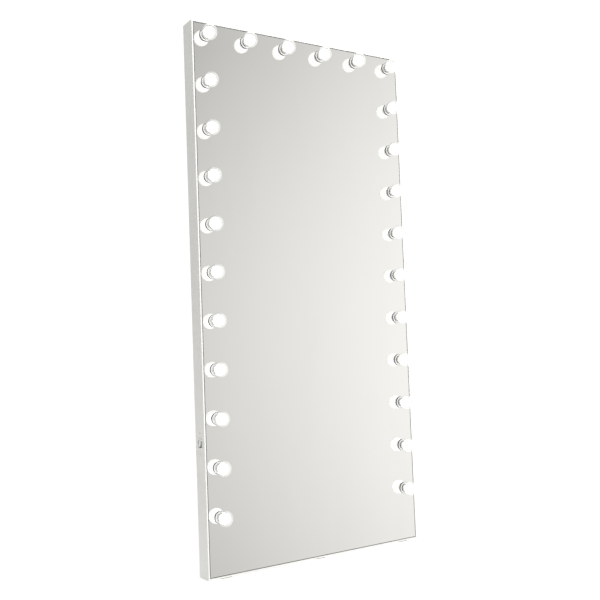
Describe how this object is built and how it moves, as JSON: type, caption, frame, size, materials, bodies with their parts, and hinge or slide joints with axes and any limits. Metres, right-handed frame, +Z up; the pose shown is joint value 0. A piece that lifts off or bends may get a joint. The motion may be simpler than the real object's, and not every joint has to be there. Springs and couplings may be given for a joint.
{
  "type": "lighted vanity mirror",
  "caption": "Tall free-standing dressing mirror in a slim white metal frame, with globe bulbs along the top and both long sides and a rocker switch on its side.",
  "frame": {"origin": "on the floor, at the middle of the frame's width and depth, under the centre foot pad", "axes": "+Z up, +X to the viewer's right, +Y from the glass towards the back, so the glass faces -Y"},
  "size_m": [0.8692, 0.1238, 1.831],
  "materials": {
    "white_paint": "satin",
    "back_paint": "matte",
    "white_screw": "satin",
    "zinc_steel": "satin",
    "mirror": "polished",
    "black_foam": "matte",
    "hardboard": "matte",
    "lampholder_metal": "polished",
    "bulb_glass": "gloss",
    "white_plastic": "satin",
    "black_plastic": "satin",
    "grey_plastic": "matte",
    "wire_sleeve": "matte",
    "foot_rubber": "matte"
  },
  "bodies": {
    "cabinet": {"left_stile": "white_paint", "right_stile": "white_paint", "top_rail": "white_paint", "bottom_rail": "white_paint", "back_panel": "back_paint", "corner_bracket_bottom_left": "zinc_steel", "corner_bracket_bottom_right": "zinc_steel", "corner_bracket_top_right": "zinc_steel", "corner_bracket_top_left": "zinc_steel", "mirror_glass": "mirror", "edge_gasket": "black_foam", "backing_board": "hardboard", "left_lampholder_rail": "lampholder_metal", "top_lampholder_rail": "lampholder_metal", "right_lampholder_rail": "lampholder_metal", "left_bulb_01": "bulb_glass", "left_bulb_02": "bulb_glass", "left_bulb_03": "bulb_glass", "left_bulb_04": "bulb_glass", "left_bulb_05": "bulb_glass", "left_bulb_06": "bulb_glass", "left_bulb_07": "bulb_glass", "left_bulb_08": "bulb_glass", "left_bulb_09": "bulb_glass", "left_bulb_10": "bulb_glass", "left_bulb_11": "bulb_glass", "top_bulb_01": "bulb_glass", "top_bulb_02": "bulb_glass", "top_bulb_03": "bulb_glass", "top_bulb_04": "bulb_glass", "right_bulb_01": "bulb_glass", "right_bulb_02": "bulb_glass", "right_bulb_03": "bulb_glass", "right_bulb_04": "bulb_glass", "right_bulb_05": "bulb_glass", "right_bulb_06": "bulb_glass", "right_bulb_07": "bulb_glass", "right_bulb_08": "bulb_glass", "right_bulb_09": "bulb_glass", "right_bulb_10": "bulb_glass", "right_bulb_11": "bulb_glass", "switch_housing": "white_plastic", "switch_bracket": "zinc_steel", "upper_switch_screw": "white_screw", "lower_switch_screw": "white_screw", "left_hanger_plate": "zinc_steel", "right_hanger_plate": "zinc_steel", "power_inlet": "black_plastic", "junction_box": "grey_plastic", "junction_box_lid": "grey_plastic", "terminal_block": "white_plastic", "wiring_loom": "wire_sleeve", "supply_lead": "wire_sleeve", "switch_lead": "wire_sleeve", "left_foot_pad": "foot_rubber", "centre_foot_pad": "foot_rubber", "right_foot_pad": "foot_rubber"},
    "rocker": {"switch_rocker": "white_plastic"}
  },
  "joints": [
    {"name": "rocker_tilt", "type": "hinge", "parent": "cabinet", "child": "rocker", "pos_m": [-0.428, -0.0028, 0.4335], "axis": [0, -1, 0], "range_deg": [0, 16]}
  ]
}
